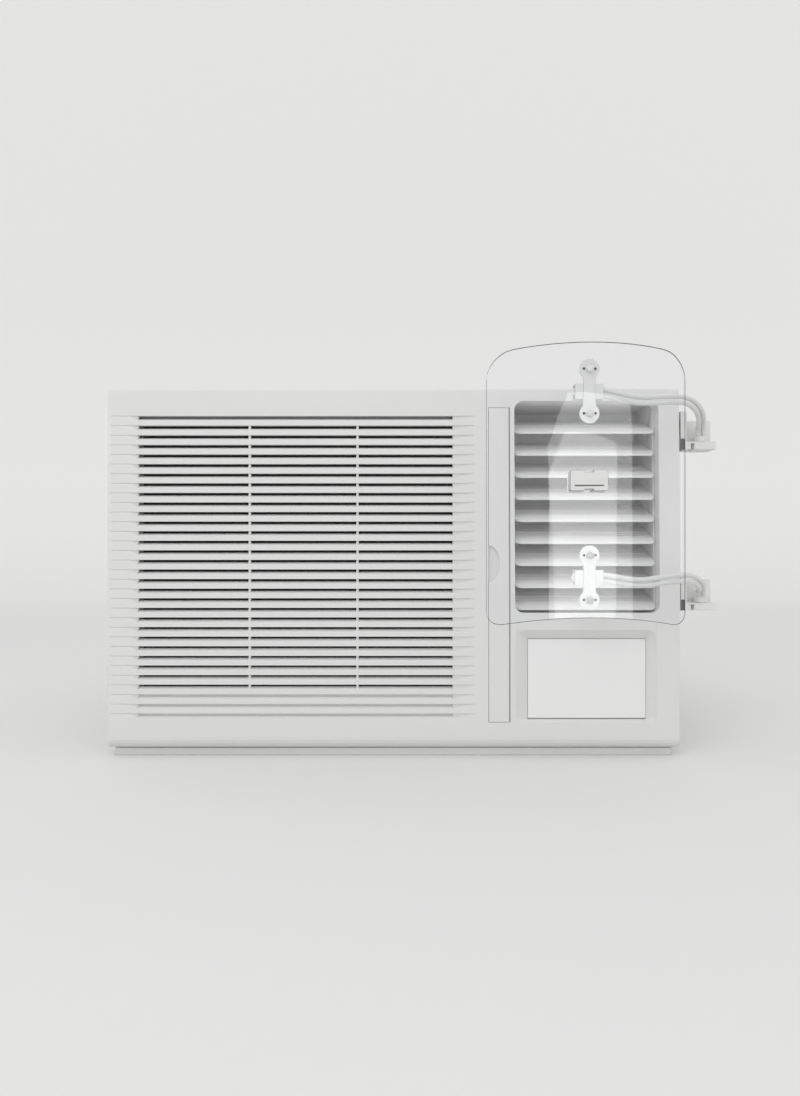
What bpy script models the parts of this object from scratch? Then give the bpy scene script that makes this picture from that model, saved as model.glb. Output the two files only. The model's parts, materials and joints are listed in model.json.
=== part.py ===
"""Window air conditioner with a clear air deflector swung in front of its outlet.

Metres. X runs to the right, Y to the rear, Z up. The origin is the middle of the base pan's
underside, and the moulded front panel faces -Y.
"""
import math

import bmesh
import bpy
from mathutils import Matrix, Vector

# Driving sizes
WIDTH = 0.660               # front panel, side to side
PANEL_TOP = 0.4255          # top of the front panel above the base
DEPTH = 0.624               # panel face to rear guard
PANEL_DEPTH = 0.063
PANEL_WALL = 0.003
PAN_HEIGHT = 0.0085
SHEET = 0.0012              # sheet metal
GAP = 0.0003                # between touching pieces
SEAM = 0.0005               # round the doors
SLIDE = 0.0003              # radial play of a pin in its hole
THROUGH = 0.010             # how far a cutter runs past what it cuts

FRONT = -DEPTH / 2 - 0.006  # plane of the panel's face
REAR = FRONT + DEPTH
HALF = WIDTH / 2
PANEL_BOTTOM = PAN_HEIGHT + 0.0005
PANEL_FILLET, PANEL_EDGE = 0.014, 0.004
INNER_TOP = PANEL_TOP - 0.014   # of the plates that stand inside the case

# Filter door
STRIP_LEFT, STRIP_RIGHT = HALF - 0.2200, HALF - 0.1958
STRIP_LOW, STRIP_HIGH = 0.0406, PANEL_TOP - 0.0232
STRIP_THICK, STRIP_PIN_LONG, STRIP_RIM = 0.005, 0.003, 0.004
SCOOP_Z = (STRIP_LOW + STRIP_HIGH) / 2 + 0.0016
SCOOP_HALF, SCOOP_WIDE, SCOOP_DEEP = 0.021, 0.0125, 0.003
PIN_R = 0.0015

# Intake grille
SLOTS, BLIND_SLOTS = 32, 3
SLOT_TOP = PANEL_TOP - 0.0322
SLOT_PITCH = (PANEL_TOP - 0.0716) / SLOTS
SLOT_MOUTH, SLOT_SLOPE = 0.0050, 0.0024
SLOT_LEFT, SLOT_RIGHT = -HALF + 0.036, STRIP_LEFT - 0.0422
FLARE_LEFT, FLARE_RIGHT = 0.0095, 0.0249
FLARE_STEP, FLARE_DEPTH = 0.0006, 0.0018
GROOVE = 0.0006
GRILLE_PAD, BLIND_DEPTH = 0.006, 0.0045
RIB_SHARES, RIB_WIDTH = (0.3538, 0.6976), 0.0025

# Outlet and louvers
OUTLET_LEFT, OUTLET_RIGHT = HALF - 0.1901, HALF - 0.0242
OUTLET_LOW, OUTLET_HIGH, OUTLET_R = 0.1662, PANEL_TOP - 0.0151, 0.010
COLLAR_DEPTH = 0.018
FRAME_DEPTH, FRAME_LOW, FRAME_HIGH = 0.0647, 0.158, PANEL_TOP - 0.0137
FRAME_WALL, FRAME_INSET = 0.003, 0.0013
LOUVERS = 9
LOUVER_PITCH = (OUTLET_HIGH - OUTLET_LOW - 0.0138) / LOUVERS
PIVOT_TOP, PIVOT_BACK = OUTLET_HIGH - 0.0222, 0.037
LOUVER_FRONT = Vector((-0.030, -0.0133))
LOUVER_BACK = Vector((0.028, 0.0095))
LOUVER_THICK, LOUVER_CORNER, LOUVER_END = 0.0022, 0.007, 0.0016
CREASE_AT, CREASE_HALF, CREASE_DEPTH = -0.0078, 0.0004, 0.0008
LOUVER_PIN_R = 0.0018
CRANK, CRANK_EAR = Vector((0.0345, 0.0100)), 0.0026
LINK_LEFT, LINK_THICK, LINK_WIDE = 0.0120, 0.0024, 0.006

# Control recess and door
RECESS_LEFT, RECESS_RIGHT = HALF - 0.1889, HALF - 0.0265
RECESS_LOW, RECESS_HIGH, RECESS_DEEP = 0.0395, 0.1466, 0.010
RECESS_R, RECESS_FLOOR_R, RECESS_WALL = 0.009, 0.0015, 0.0025
CDOOR_LEFT, CDOOR_RIGHT = HALF - 0.1736, HALF - 0.0363
CDOOR_LOW, CDOOR_HIGH, CDOOR_THICK = 0.0424, 0.1355, 0.003
CDOOR_BARREL, CDOOR_PIN_LONG = 0.0025, 0.002
CONTROLS_BACK, CONTROLS_DEPTH = 0.0335, 0.080
KNOB_R, KNOB_LONG, KNOB_STEM_R, KNOB_Z = 0.017, 0.016, 0.003, 0.088
KNOB_X = {"mode_knob": HALF - 0.140, "thermostat_knob": HALF - 0.072}

# Cold side
FILTER_BACK, FILTER_THICK, FILTER_RIM = 0.0105, 0.004, 0.008
COIL_BACK, COIL_DEPTH, COIL_LOW, COIL_HIGH = 0.035, 0.060, 0.036, PANEL_TOP - 0.0255
COIL_TUBE_R, BEND_REACH = 0.0045, 0.008
BULKHEAD = FRONT + 0.222
DUCT_BACK, DUCT_BEND = BULKHEAD - 0.005, 0.075
FAN_X, FAN_Z = -0.060, PANEL_TOP / 2
SHAFT_R, SHAFT_HOLE_R = 0.004, 0.012
SCROLL_BACK, SCROLL_WALL, SCROLL_PLAY, SCROLL_GROWTH = 0.112, 0.0025, 0.012, 0.092
THROAT_RIGHT, THROAT_LEFT = FAN_Z + 0.052, FAN_Z + 0.027
WHEEL_R, WHEEL_LONG, WHEEL_WALL, BLADES = 0.085, 0.075, 0.003, 16

# Hot side
CONDENSER_FRONT, CONDENSER_DEPTH = REAR - 0.075, 0.045
CFAN_R, CFAN_BLADES, CFAN_Y = 0.145, 5, CONDENSER_FRONT - 0.087
SLINGER_WIDE, CFAN_HUB_R = 0.010, 0.028
SHROUD_FRONT, SHROUD_PLAY, SHROUD_WALL = CFAN_Y - 0.012, 0.008, 0.0025
MOTOR_R, MOTOR_FRONT, MOTOR_REAR = 0.060, BULKHEAD + 0.030, CFAN_Y - 0.110
STAND_HALF, STAND_WALL, STAND_INSET = 0.050, 0.003, 0.020
PAN_FLOOR = 0.0022
ON_PAN = PAN_FLOOR + 0.0004
COMP_X, COMP_Y, COMP_R = HALF - 0.130, BULKHEAD + 0.136, 0.065
COMP_LOW, COMP_HIGH, COMP_PLATE_R, COMP_FOOT_R = 0.020, 0.250, 0.085, 0.074
PIPE_X, PIPE_Z = HALF - 0.215, 0.120
DISCHARGE_AT, CAPILLARY_AT = (HALF - 0.068, PANEL_TOP - 0.1255), (HALF - 0.203, 0.050)

# Case
CASE_INSET, CASE_DROP, CASE_LAP = 0.0045, 0.0085, 0.015
VENT_ROWS, VENT_COLUMNS, VENT_LONG, VENT_TALL = 8, 2, 0.085, 0.005
GLAND_Y, GLAND_Z, GLAND_BORE_R = FRONT + 0.090, 0.045, 0.0045
GUARD_ROWS, GUARD_COLUMNS, GUARD_SLOT, GUARD_EDGE = 12, 3, 0.020, 0.015

# Air deflector
SHEET_LEFT, SHEET_RIGHT = HALF - 0.2284, HALF - 0.0126
SHEET_LOW, SHEET_HIGH, SHEET_THICK = 0.153, PANEL_TOP + 0.030, 0.0025
SHEET_APEX, SHEET_SAG = 0.075, 0.028
TOP_ARCH, BOTTOM_ARCH, TOP_R, BOTTOM_R = 0.006, 0.012, 0.028, 0.017
CLIP_X, CLIP_Z = HALF - 0.123, {"upper": PANEL_TOP - 0.0215, "lower": 0.2075}
CLIP_END_R, CLIP_REACH, CLIP_WAIST, CLIP_THICK = 0.0105, 0.0235, 0.0062, 0.002
SADDLE_LIP = 0.0009
ROD_R = 0.0030
ROD_SPREAD = ROD_R + 0.0003
SADDLE_WIDE, SADDLE_TALL, SADDLE_DEEP = 0.030, 2 * ROD_SPREAD + 2 * ROD_R + 0.0034, 2 * ROD_R + 0.0044
SWING_X, SWING_Y = HALF + 0.027, FRONT + 0.009
BARREL_R, BARREL_TALL, SWIVEL_PIN_R = 0.0075, 0.006, 0.003
BRACKET_Z = {"upper": (PANEL_TOP - 0.0705, PANEL_TOP - 0.0345), "lower": (0.169, 0.205)}
BRACKET_OUT, BRACKET_DEPTH, PAD_THICK = 0.042, 0.023, 0.0012
BRACKET_STEP, BRACKET_PLATE, FLANGE_WIDE, FLANGE_UP = 0.009, 0.0065, 0.0075, 0.008
PAD_FOOT, PAD_FOOT_TALL = 0.0048, 0.0125
SCENT_WIDE, SCENT_TALL, SCENT_THICK, SCENT_OFF = 0.0397, 0.0217, 0.006, 0.0014
SCENT_X, SCENT_Z = CLIP_X - 0.0028, (CLIP_Z["upper"] + CLIP_Z["lower"]) / 2 + 0.003

PARTS = bpy.data.collections.new("window_air_conditioner")
CUTTERS = bpy.data.collections.new("cutters")


def clear_scene():
    for old in list(bpy.data.objects):
        bpy.data.objects.remove(old)
    for group in (PARTS, CUTTERS):
        bpy.context.scene.collection.children.link(group)


def material(name, colour, roughness, metallic=0.0, alpha=1.0):
    made = bpy.data.materials.new(name)
    made.use_nodes = True
    shader = made.node_tree.nodes["Principled BSDF"]
    shader.inputs["Base Color"].default_value = (*colour, 1)
    shader.inputs["Roughness"].default_value = roughness
    shader.inputs["Metallic"].default_value = metallic
    shader.inputs["Alpha"].default_value = alpha
    return made


WHITE = material("white_plastic", (0.80, 0.80, 0.79), 0.40)
ARM_WHITE = material("accessory_white", (0.86, 0.86, 0.85), 0.32)
CLEAR = material("clear_acrylic", (0.93, 0.95, 0.95), 0.05, alpha=0.25)
DARK = material("black_mesh", (0.05, 0.05, 0.055), 0.7)
ENAMEL = material("enamelled_steel", (0.72, 0.72, 0.70), 0.35, 0.1)
STEEL = material("zinc_steel", (0.55, 0.56, 0.57), 0.4, 0.9)
FIN = material("aluminium_fin", (0.75, 0.76, 0.77), 0.35, 0.9)
COPPER = material("copper_tube", (0.72, 0.40, 0.27), 0.3, 1.0)
BLACK = material("black_enamel", (0.03, 0.03, 0.03), 0.4)
FOAM = material("foam", (0.85, 0.85, 0.83), 0.9)
RUBBER = material("rubber", (0.06, 0.06, 0.06), 0.8)
GREY = material("grey_plastic", (0.45, 0.46, 0.47), 0.5)


def solid(name, bm, finish=None):
    """Puts a bmesh into the scene, as a part if it has a finish and as a cutter if it hasn't."""
    bmesh.ops.recalc_face_normals(bm, faces=bm.faces)
    mesh = bpy.data.meshes.new(name)
    bm.to_mesh(mesh)
    bm.free()
    made = bpy.data.objects.new(name, mesh)
    if finish is None:
        CUTTERS.objects.link(made)
        made.hide_render = True
        made.display_type = "WIRE"
    else:
        PARTS.objects.link(made)
        mesh.materials.append(finish)
        mesh.shade_smooth()
        mesh.set_sharp_from_angle(angle=math.radians(35))
    return made


def boolean(target, operation, *tools):
    for tool in tools:
        step = target.modifiers.new(tool.name, "BOOLEAN")
        step.operation = operation
        step.solver = "EXACT"
        step.object = tool
    return target


def cut(target, *tools):
    return boolean(target, "DIFFERENCE", *tools)


def join(target, *tools):
    return boolean(target, "UNION", *tools)


def block(name, low, high, finish=None, radius=0.0, along=None, segments=4):
    """A box between two corners. Its edges that run along one axis can be rounded."""
    bm = bmesh.new()
    bmesh.ops.create_cube(bm, size=1)
    size = Vector(high) - Vector(low)
    bmesh.ops.scale(bm, vec=size, verts=bm.verts)
    bmesh.ops.translate(bm, vec=(Vector(high) + Vector(low)) / 2, verts=bm.verts)
    if radius:
        edges = [e for e in bm.edges if abs((e.verts[0].co - e.verts[1].co)["XYZ".index(along)]) > 1e-6]
        bmesh.ops.bevel(bm, geom=edges, offset=radius, segments=segments, profile=0.5,
                        affect="EDGES", material=-1)
    return solid(name, bm, finish)


def rod(name, start, end, radius, finish=None, sides=16, end_radius=None):
    bm = bmesh.new()
    start, end = Vector(start), Vector(end)
    bmesh.ops.create_cone(bm, cap_ends=True, segments=sides, radius1=radius,
                          radius2=radius if end_radius is None else end_radius,
                          depth=(end - start).length)
    turn = (end - start).to_track_quat("Z", "Y").to_matrix().to_4x4()
    bmesh.ops.transform(bm, matrix=Matrix.Translation((start + end) / 2) @ turn, verts=bm.verts)
    return solid(name, bm, finish)


def skin(bm, rings):
    """Skins a row of rings that have the same number of points, and closes both ends."""
    made = [[bm.verts.new(point) for point in ring] for ring in rings]
    count = len(rings[0])
    for first, second in zip(made, made[1:]):
        for i in range(count):
            j = (i + 1) % count
            bm.faces.new((first[i], first[j], second[j], second[i]))
    bm.faces.new(made[0][::-1])
    bm.faces.new(made[-1])


def loft(name, rings, finish=None):
    bm = bmesh.new()
    skin(bm, rings)
    return solid(name, bm, finish)


def tube(name, points, radius, finish=None, sides=2):
    """A wire along the points, made a mesh with welded caps."""
    curve = bpy.data.curves.new(name + "_path", "CURVE")
    curve.dimensions = "3D"
    curve.bevel_depth = radius
    curve.bevel_resolution = sides
    curve.use_fill_caps = True
    line = curve.splines.new("POLY")
    line.points.add(len(points) - 1)
    for place, point in zip(line.points, points):
        place.co = (*point, 1)
    guide = bpy.data.objects.new(name + "_path", curve)
    bpy.context.scene.collection.objects.link(guide)
    graph = bpy.context.evaluated_depsgraph_get()
    mesh = bpy.data.meshes.new_from_object(guide.evaluated_get(graph))
    bm = bmesh.new()
    bm.from_mesh(mesh)
    bmesh.ops.remove_doubles(bm, verts=bm.verts, dist=1e-6)
    bpy.data.objects.remove(guide)
    return solid(name, bm, finish)


def prism(name, outline, low, high, axis="Y", finish=None):
    """An outline of (a, b) points carried along an axis: a, b are X, Z for Y and X, Y for Z."""
    place = {"Y": lambda a, b, c: (a, c, b), "Z": lambda a, b, c: (a, b, c),
             "X": lambda a, b, c: (c, a, b)}[axis]
    return loft(name, [[place(a, b, level) for a, b in outline] for level in (low, high)], finish)


def arc(centre, radius, start, end, steps):
    """Points of an arc, angles in degrees."""
    for i in range(steps + 1):
        angle = math.radians(start + (end - start) * i / steps)
        yield centre[0] + radius * math.cos(angle), centre[1] + radius * math.sin(angle)


def smooth_path(points, steps):
    """A Catmull-Rom curve through the points."""
    line = [Vector(p) for p in points]
    line = [2 * line[0] - line[1], *line, 2 * line[-1] - line[-2]]
    made = []
    for a, b, c, d in zip(line, line[1:], line[2:], line[3:]):
        for i in range(steps):
            t = i / steps
            made.append(0.5 * (2 * b + (c - a) * t + (2 * a - 5 * b + 4 * c - d) * t * t
                               + (3 * b - a - 3 * c + d) * t ** 3))
    return [*made, line[-2]]


# Front panel

def slot_rings(row):
    """A slot's cutter from left to right: groove, short flare, slot, long shallow flare."""
    top = SLOT_TOP - row * SLOT_PITCH
    deep = GRILLE_PAD + 0.004 if row < SLOTS - BLIND_SLOTS else BLIND_DEPTH
    slope = SLOT_SLOPE * (1 if deep < GRILLE_PAD else deep / GRILLE_PAD)
    out = 0.001

    def ring(x, mouth, back, rise=0.0):
        low = top - mouth
        return [(x, FRONT - out, low - out * rise / deep), (x, FRONT - out, top),
                (x, FRONT + back, top), (x, FRONT + back, low + rise)]

    return [ring(PANEL_EDGE + 0.0005 - HALF, GROOVE, GROOVE), ring(SLOT_LEFT - FLARE_LEFT, GROOVE, GROOVE),
            ring(SLOT_LEFT - FLARE_STEP, SLOT_MOUTH, FLARE_DEPTH), ring(SLOT_LEFT, SLOT_MOUTH, deep, slope),
            ring(SLOT_RIGHT, SLOT_MOUTH, deep, slope), ring(SLOT_RIGHT + FLARE_STEP, SLOT_MOUTH, FLARE_DEPTH),
            ring(SLOT_RIGHT + FLARE_RIGHT, GROOVE, GROOVE)]


def slot_cutter():
    bm = bmesh.new()
    for row in range(SLOTS):
        skin(bm, slot_rings(row))
    bmesh.ops.triangulate(bm, faces=bm.faces)
    return solid("slot_cutter", bm)


def panel_shell():
    bm = bmesh.new()
    bmesh.ops.create_cube(bm, size=1)
    low = Vector((-HALF, FRONT, PANEL_BOTTOM))
    high = Vector((HALF, FRONT + PANEL_DEPTH, PANEL_TOP))
    bmesh.ops.scale(bm, vec=high - low, verts=bm.verts)
    bmesh.ops.translate(bm, vec=(high + low) / 2, verts=bm.verts)
    under = [e for e in bm.edges
             if all((v.co - low).yz.length < 1e-6 for v in e.verts)]
    bmesh.ops.bevel(bm, geom=under, offset=PANEL_FILLET, segments=6, profile=0.5,
                    affect="EDGES", material=-1)
    rest = [e for e in bm.edges if all(abs(v.co.y - low.y) < 1e-6 for v in e.verts)
            and not all(v.co.z < low.z + PANEL_FILLET + 1e-6 for v in e.verts)]
    bmesh.ops.bevel(bm, geom=rest, offset=PANEL_EDGE, segments=5, profile=0.5,
                    affect="EDGES", material=-1)
    return solid("front_panel", bm, WHITE)


def recess_block(name, margin, front):
    """The control recess from a level in front of its floor, or its outside where it has a margin."""
    floor = FRONT + RECESS_DEEP
    door = (CDOOR_LEFT - SEAM, CDOOR_RIGHT + SEAM, CDOOR_LOW - SEAM, CDOOR_HIGH + SEAM, RECESS_FLOOR_R)
    mouth = (RECESS_LEFT, RECESS_RIGHT, RECESS_LOW, RECESS_HIGH, RECESS_R)

    def ring(y):
        share = max(0.0, (floor - y) / RECESS_DEEP)
        left, right, low, high, radius = (a + (b - a) * share for a, b in zip(door, mouth))
        corners = ((right - radius, high - radius), (left + radius, high - radius),
                   (left + radius, low + radius), (right - radius, low + radius))
        return [(x, y, z) for turn, corner in enumerate(corners)
                for x, z in arc(corner, radius + margin, 90 * turn, 90 * turn + 90, 4)]

    bm = bmesh.new()
    skin(bm, [ring(front), ring(floor), ring(floor + (0.006 if margin else 0.007))])
    bmesh.ops.triangulate(bm, faces=[face for face in bm.faces if len(face.verts) == 4])
    return solid(name, bm)


def front_panel():
    panel = panel_shell()
    inner = FRONT + PANEL_WALL
    cavity = block("panel_cavity", (-HALF + PANEL_WALL, inner, PANEL_BOTTOM + PANEL_WALL),
                   (HALF - PANEL_WALL, FRONT + PANEL_DEPTH + 0.001, PANEL_TOP - PANEL_WALL))
    # The fillet keeps its wall: a wedge is left in the cavity's lower front corner.
    edge = PANEL_FILLET
    keep = prism("fillet_keep", [(inner - 0.001, PANEL_BOTTOM), (inner + edge * 0.62, PANEL_BOTTOM),
                                 (inner - 0.001, PANEL_BOTTOM + edge * 0.85)], -HALF, HALF, "X")
    cut(cavity, keep)
    cut(panel, cavity)
    pad = block("grille_pad",
                (SLOT_LEFT - 0.012, inner - 0.001, SLOT_TOP - SLOTS * SLOT_PITCH - 0.001),
                (SLOT_RIGHT + FLARE_RIGHT + 0.006, FRONT + GRILLE_PAD, SLOT_TOP + 0.008))
    collar = block("outlet_collar",
                   (OUTLET_LEFT - PANEL_WALL, inner - 0.001, OUTLET_LOW - PANEL_WALL),
                   (OUTLET_RIGHT + PANEL_WALL, FRONT + COLLAR_DEPTH, OUTLET_HIGH + PANEL_WALL),
                   radius=OUTLET_R + PANEL_WALL, along="Y")
    strip = block("strip_collar", (STRIP_LEFT - STRIP_RIM, inner - 0.001, STRIP_LOW - STRIP_RIM),
                  (OUTLET_LEFT - PANEL_WALL / 2, FRONT + STRIP_THICK + PANEL_WALL, STRIP_HIGH + STRIP_RIM))
    tray = recess_block("recess_tray", RECESS_WALL, FRONT + 0.001)
    join(panel, pad, collar, strip, tray)
    cut(panel, block("outlet_cutter", (OUTLET_LEFT, FRONT - 0.002, OUTLET_LOW),
                     (OUTLET_RIGHT, FRONT + COLLAR_DEPTH + 0.002, OUTLET_HIGH),
                     radius=OUTLET_R, along="Y"))
    cut(panel, block("strip_cutter", (STRIP_LEFT - SEAM, FRONT - 0.002, STRIP_LOW - SEAM),
                     (STRIP_RIGHT + SEAM, FRONT + STRIP_THICK + 0.01, STRIP_HIGH + SEAM)))
    cut(panel, recess_block("recess_cutter", 0.0, FRONT - 0.002))
    hinge = strip_axis()
    deep = STRIP_PIN_LONG + SEAM
    cut(panel, rod("strip_pin_hole", (*hinge, STRIP_LOW - deep), (*hinge, STRIP_HIGH + deep),
                   PIN_R + SLIDE))
    y, z = control_axis()
    deep = CDOOR_PIN_LONG + SEAM
    cut(panel, rod("control_pin_hole", (CDOOR_LEFT - deep, y, z), (CDOOR_RIGHT + deep, y, z),
                   PIN_R + SLIDE, sides=12))
    cut(panel, slot_cutter())
    through = SLOTS - BLIND_SLOTS
    for number, share in enumerate(RIB_SHARES, 1):
        x = SLOT_LEFT + share * (SLOT_RIGHT - SLOT_LEFT)
        join(panel, block(f"grille_rib_{number}",
                          (x - RIB_WIDTH / 2, FRONT + 0.0015, SLOT_TOP - through * SLOT_PITCH + 0.003),
                          (x + RIB_WIDTH / 2, FRONT + 0.008, SLOT_TOP - SLOT_PITCH + 0.003)))


def strip_axis():
    return STRIP_RIGHT - STRIP_THICK / 2, FRONT + STRIP_THICK / 2


def control_axis():
    return FRONT + RECESS_DEEP + CDOOR_BARREL, CDOOR_LOW + CDOOR_BARREL


def filter_door():
    x, y = strip_axis()
    door = block("filter_door", (STRIP_LEFT, FRONT, STRIP_LOW), (x, FRONT + STRIP_THICK, STRIP_HIGH),
                 WHITE)
    join(door, rod("strip_barrel", (x, y, STRIP_LOW), (x, y, STRIP_HIGH), STRIP_THICK / 2),
         rod("strip_pin", (x, y, STRIP_LOW - STRIP_PIN_LONG), (x, y, STRIP_HIGH + STRIP_PIN_LONG),
             PIN_R, sides=12))
    scoop = [(STRIP_LEFT + SCOOP_WIDE * a, SCOOP_Z + SCOOP_HALF * b)
             for a, b in arc((0, 0), 1, -110, 110, 24)]
    cut(door, prism("scoop_cutter", scoop, FRONT - THROUGH, FRONT + SCOOP_DEEP, "Y"))


def control_door():
    y, z = control_axis()
    face = FRONT + RECESS_DEEP
    behind = math.degrees(math.acos((CDOOR_THICK - CDOOR_BARREL) / CDOOR_BARREL))
    outline = [(face, CDOOR_HIGH), *arc((y, z), CDOOR_BARREL, 180, 360 + behind, 14),
               (face + CDOOR_THICK, CDOOR_HIGH)]
    door = prism("control_door", outline, CDOOR_LEFT, CDOOR_RIGHT, "X", WHITE)
    join(door, rod("control_pin", (CDOOR_LEFT - CDOOR_PIN_LONG, y, z),
                   (CDOOR_RIGHT + CDOOR_PIN_LONG, y, z), PIN_R, sides=12))


# Outlet, louvers and duct

def outlet_frame():
    front = FRONT + COLLAR_DEPTH + GAP
    left, right = OUTLET_LEFT + FRAME_INSET, OUTLET_RIGHT - FRAME_INSET
    frame = block("outlet_frame", (left - FRAME_WALL, front, FRAME_LOW - FRAME_WALL),
                  (right + FRAME_WALL, front + FRAME_DEPTH, FRAME_HIGH + FRAME_WALL), WHITE)
    cut(frame, block("frame_bore", (left, front - THROUGH, FRAME_LOW),
                     (right, front + FRAME_DEPTH + THROUGH, FRAME_HIGH)))
    for i in range(LOUVERS):
        _, y, z = louver_pivot(i)
        cut(frame, rod(f"louver_hole_{i + 1}", (left - THROUGH, y, z), (right + THROUGH, y, z),
                       LOUVER_PIN_R + SLIDE, sides=8))
    return front + FRAME_DEPTH + GAP


def louver_pivot(i):
    return OUTLET_LEFT, FRONT + PIVOT_BACK, PIVOT_TOP - i * LOUVER_PITCH


def louver(i):
    """A curved blade with end pins, and a crank ear that carries the link's pin."""
    _, y, z = louver_pivot(i)
    left, right = OUTLET_LEFT + LOUVER_END, OUTLET_RIGHT - LOUVER_END
    a, b = LOUVER_FRONT, LOUVER_BACK
    bend = (a.y / a.x - b.y / b.x) / (a.x - b.x)
    lean = a.y / a.x - bend * a.x
    corner = [LOUVER_CORNER * (1 - math.cos(math.radians(t))) for t in (0, 20, 40, 60, 90)]
    crease = [CREASE_AT + CREASE_HALF * share for share in (-1.5, -1, 1, 1.5)]
    places = [*(a.x + d for d in corner), -0.015, *crease, 0.0, 0.008, 0.016,
              *(b.x - d for d in corner[::-1])]
    rings = []
    for place in places:
        run = min(place - a.x, b.x - place, LOUVER_CORNER)
        chord = max(0.0, LOUVER_CORNER ** 2 - (LOUVER_CORNER - run) ** 2)
        inset = LOUVER_CORNER - math.sqrt(chord)
        height = bend * place * place + lean * place
        slope = math.atan(2 * bend * place + lean)
        half = Vector((-math.sin(slope), math.cos(slope))) * LOUVER_THICK / 2
        sink = CREASE_DEPTH if abs(place - CREASE_AT) < CREASE_HALF * 1.2 else 0.0
        high = (y + place + half.x, z + height + half.y - sink)
        low = (y + place - half.x, z + height - half.y)
        rings.append([(left + inset, *low), (right - inset, *low), (right - inset, *high),
                      (left + inset, *high)])
    blade = loft(f"louver_{i + 1}", rings, WHITE)
    tip = OUTLET_LEFT + FRAME_INSET - FRAME_WALL + 2 * GAP
    pin_y, pin_z = y + CRANK.x, z + CRANK.y
    ear = OUTLET_LEFT + LINK_LEFT + LINK_THICK + GAP
    root = y + LOUVER_BACK.x - 0.008
    join(blade, rod(f"louver_pin_{i + 1}", (tip, y, z), (OUTLET_LEFT + OUTLET_RIGHT - tip, y, z),
                    LOUVER_PIN_R, sides=8),
         prism(f"louver_ear_{i + 1}", [(root, z + 0.0053), (pin_y, pin_z - 0.003),
                                       (pin_y + 0.003, pin_z), (pin_y, pin_z + 0.003),
                                       (root, z + 0.0083)], ear, ear + CRANK_EAR, "X"),
         rod(f"crank_pin_{i + 1}", (ear - LINK_THICK - 0.0016, pin_y, pin_z),
             (ear + 0.001, pin_y, pin_z), PIN_R, sides=8))


def louver_link():
    x = OUTLET_LEFT + LINK_LEFT
    _, y, top = louver_pivot(0)
    y += CRANK.x
    low = louver_pivot(LOUVERS - 1)[2] + CRANK.y - LINK_WIDE * 0.58
    bar = block("louver_link", (x, y - LINK_WIDE / 2, low),
                (x + LINK_THICK, y + LINK_WIDE / 2, top + CRANK.y + LINK_WIDE), WHITE)
    for i in range(LOUVERS):
        z = louver_pivot(i)[2] + CRANK.y
        cut(bar, rod(f"link_hole_{i + 1}", (x - THROUGH, y, z), (x + THROUGH, y, z),
                     PIN_R + SLIDE, sides=8))


def duct_outline(wall, front, left, right):
    """The duct in plan: its rear right corner is one wide bend."""
    turn = list(arc((right - wall - DUCT_BEND, DUCT_BACK - wall - DUCT_BEND), DUCT_BEND, 0, 90, 8))
    return [(left, front), (right - wall, front), *turn, (left, DUCT_BACK - wall)]


def discharge_duct(front):
    """Carries the air from the blower's side to the outlet. Returns its left side."""
    left = OUTLET_LEFT + FRAME_INSET - FRAME_WALL
    right = OUTLET_RIGHT - FRAME_INSET + FRAME_WALL
    duct = prism("discharge_duct", duct_outline(0, front, left, right),
                 FRAME_LOW - FRAME_WALL, FRAME_HIGH + FRAME_WALL, "Z", WHITE)
    mouth = (left - THROUGH, front + 0.036, THROAT_RIGHT - FRAME_WALL)
    cut(duct, prism("duct_bore", duct_outline(FRAME_WALL, front - THROUGH, left + FRAME_WALL, right),
                    FRAME_LOW, FRAME_HIGH, "Z"),
        block("duct_side", mouth, (left + THROUGH, DUCT_BACK - FRAME_WALL - 0.002, FRAME_HIGH - 0.002)))
    return left


# Cold side

def filter_pieces():
    front = FRONT + FILTER_BACK
    low = (SLOT_LEFT - 0.006, front, COIL_LOW + 0.004)
    high = (STRIP_LEFT - 0.006, front + FILTER_THICK, COIL_HIGH - 0.001)
    rim = FILTER_RIM
    frame = block("filter_frame", low, high, GREY)
    cut(frame, block("filter_window", (low[0] + rim, low[1] - THROUGH, low[2] + rim),
                     (high[0] - rim, high[1] + THROUGH, high[2] - rim)))
    block("filter_mesh", (low[0] + rim + GAP, low[1] + 0.0015, low[2] + rim + GAP),
          (high[0] - rim - GAP, high[1] - 0.0015, high[2] - rim - GAP), DARK)


def coil(name, low, high, bends):
    """A finned block, and on its right a tube sheet that carries the return bends."""
    x = high[0]
    block(f"{name}_fins", low, high, FIN)
    tubes = block(f"{name}_tubes", (x + GAP, low[1], low[2]), (x + GAP + SHEET, high[1], high[2]), COPPER)
    pitch = (high[2] - low[2]) / (2 * bends)
    middle = (low[1] + high[1]) / 2
    plate = x + GAP + SHEET / 2
    for i in range(bends):
        z = low[2] + pitch * (2 * i + 1)
        bend = [(x + BEND_REACH + pitch / 2 * math.sin(math.radians(a)), middle,
                 z - pitch / 2 * math.cos(math.radians(a))) for a in range(0, 181, 45)]
        join(tubes, tube(f"{name}_bend_{i + 1}", [(plate, middle, z - pitch / 2), *bend,
                                                  (plate, middle, z + pitch / 2)], COIL_TUBE_R, sides=1))


def scroll_outline(right, wall):
    """The blower's housing in plan, or its outside where it is given a wall."""
    turns = 24
    top = FRAME_HIGH + wall
    line = []
    for i in range(turns + 1):
        radius = WHEEL_R + SCROLL_PLAY + wall + SCROLL_GROWTH * i / turns
        angle = math.radians(-35 - 270 * i / turns)
        line.append((FAN_X + radius * math.cos(angle), min(FAN_Z + radius * math.sin(angle), top)))
    tongue = FAN_X + (WHEEL_R + SCROLL_PLAY + wall) * 0.95
    return [(right, top), (right, THROAT_RIGHT - wall), (tongue, THROAT_LEFT - wall), *line]


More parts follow.
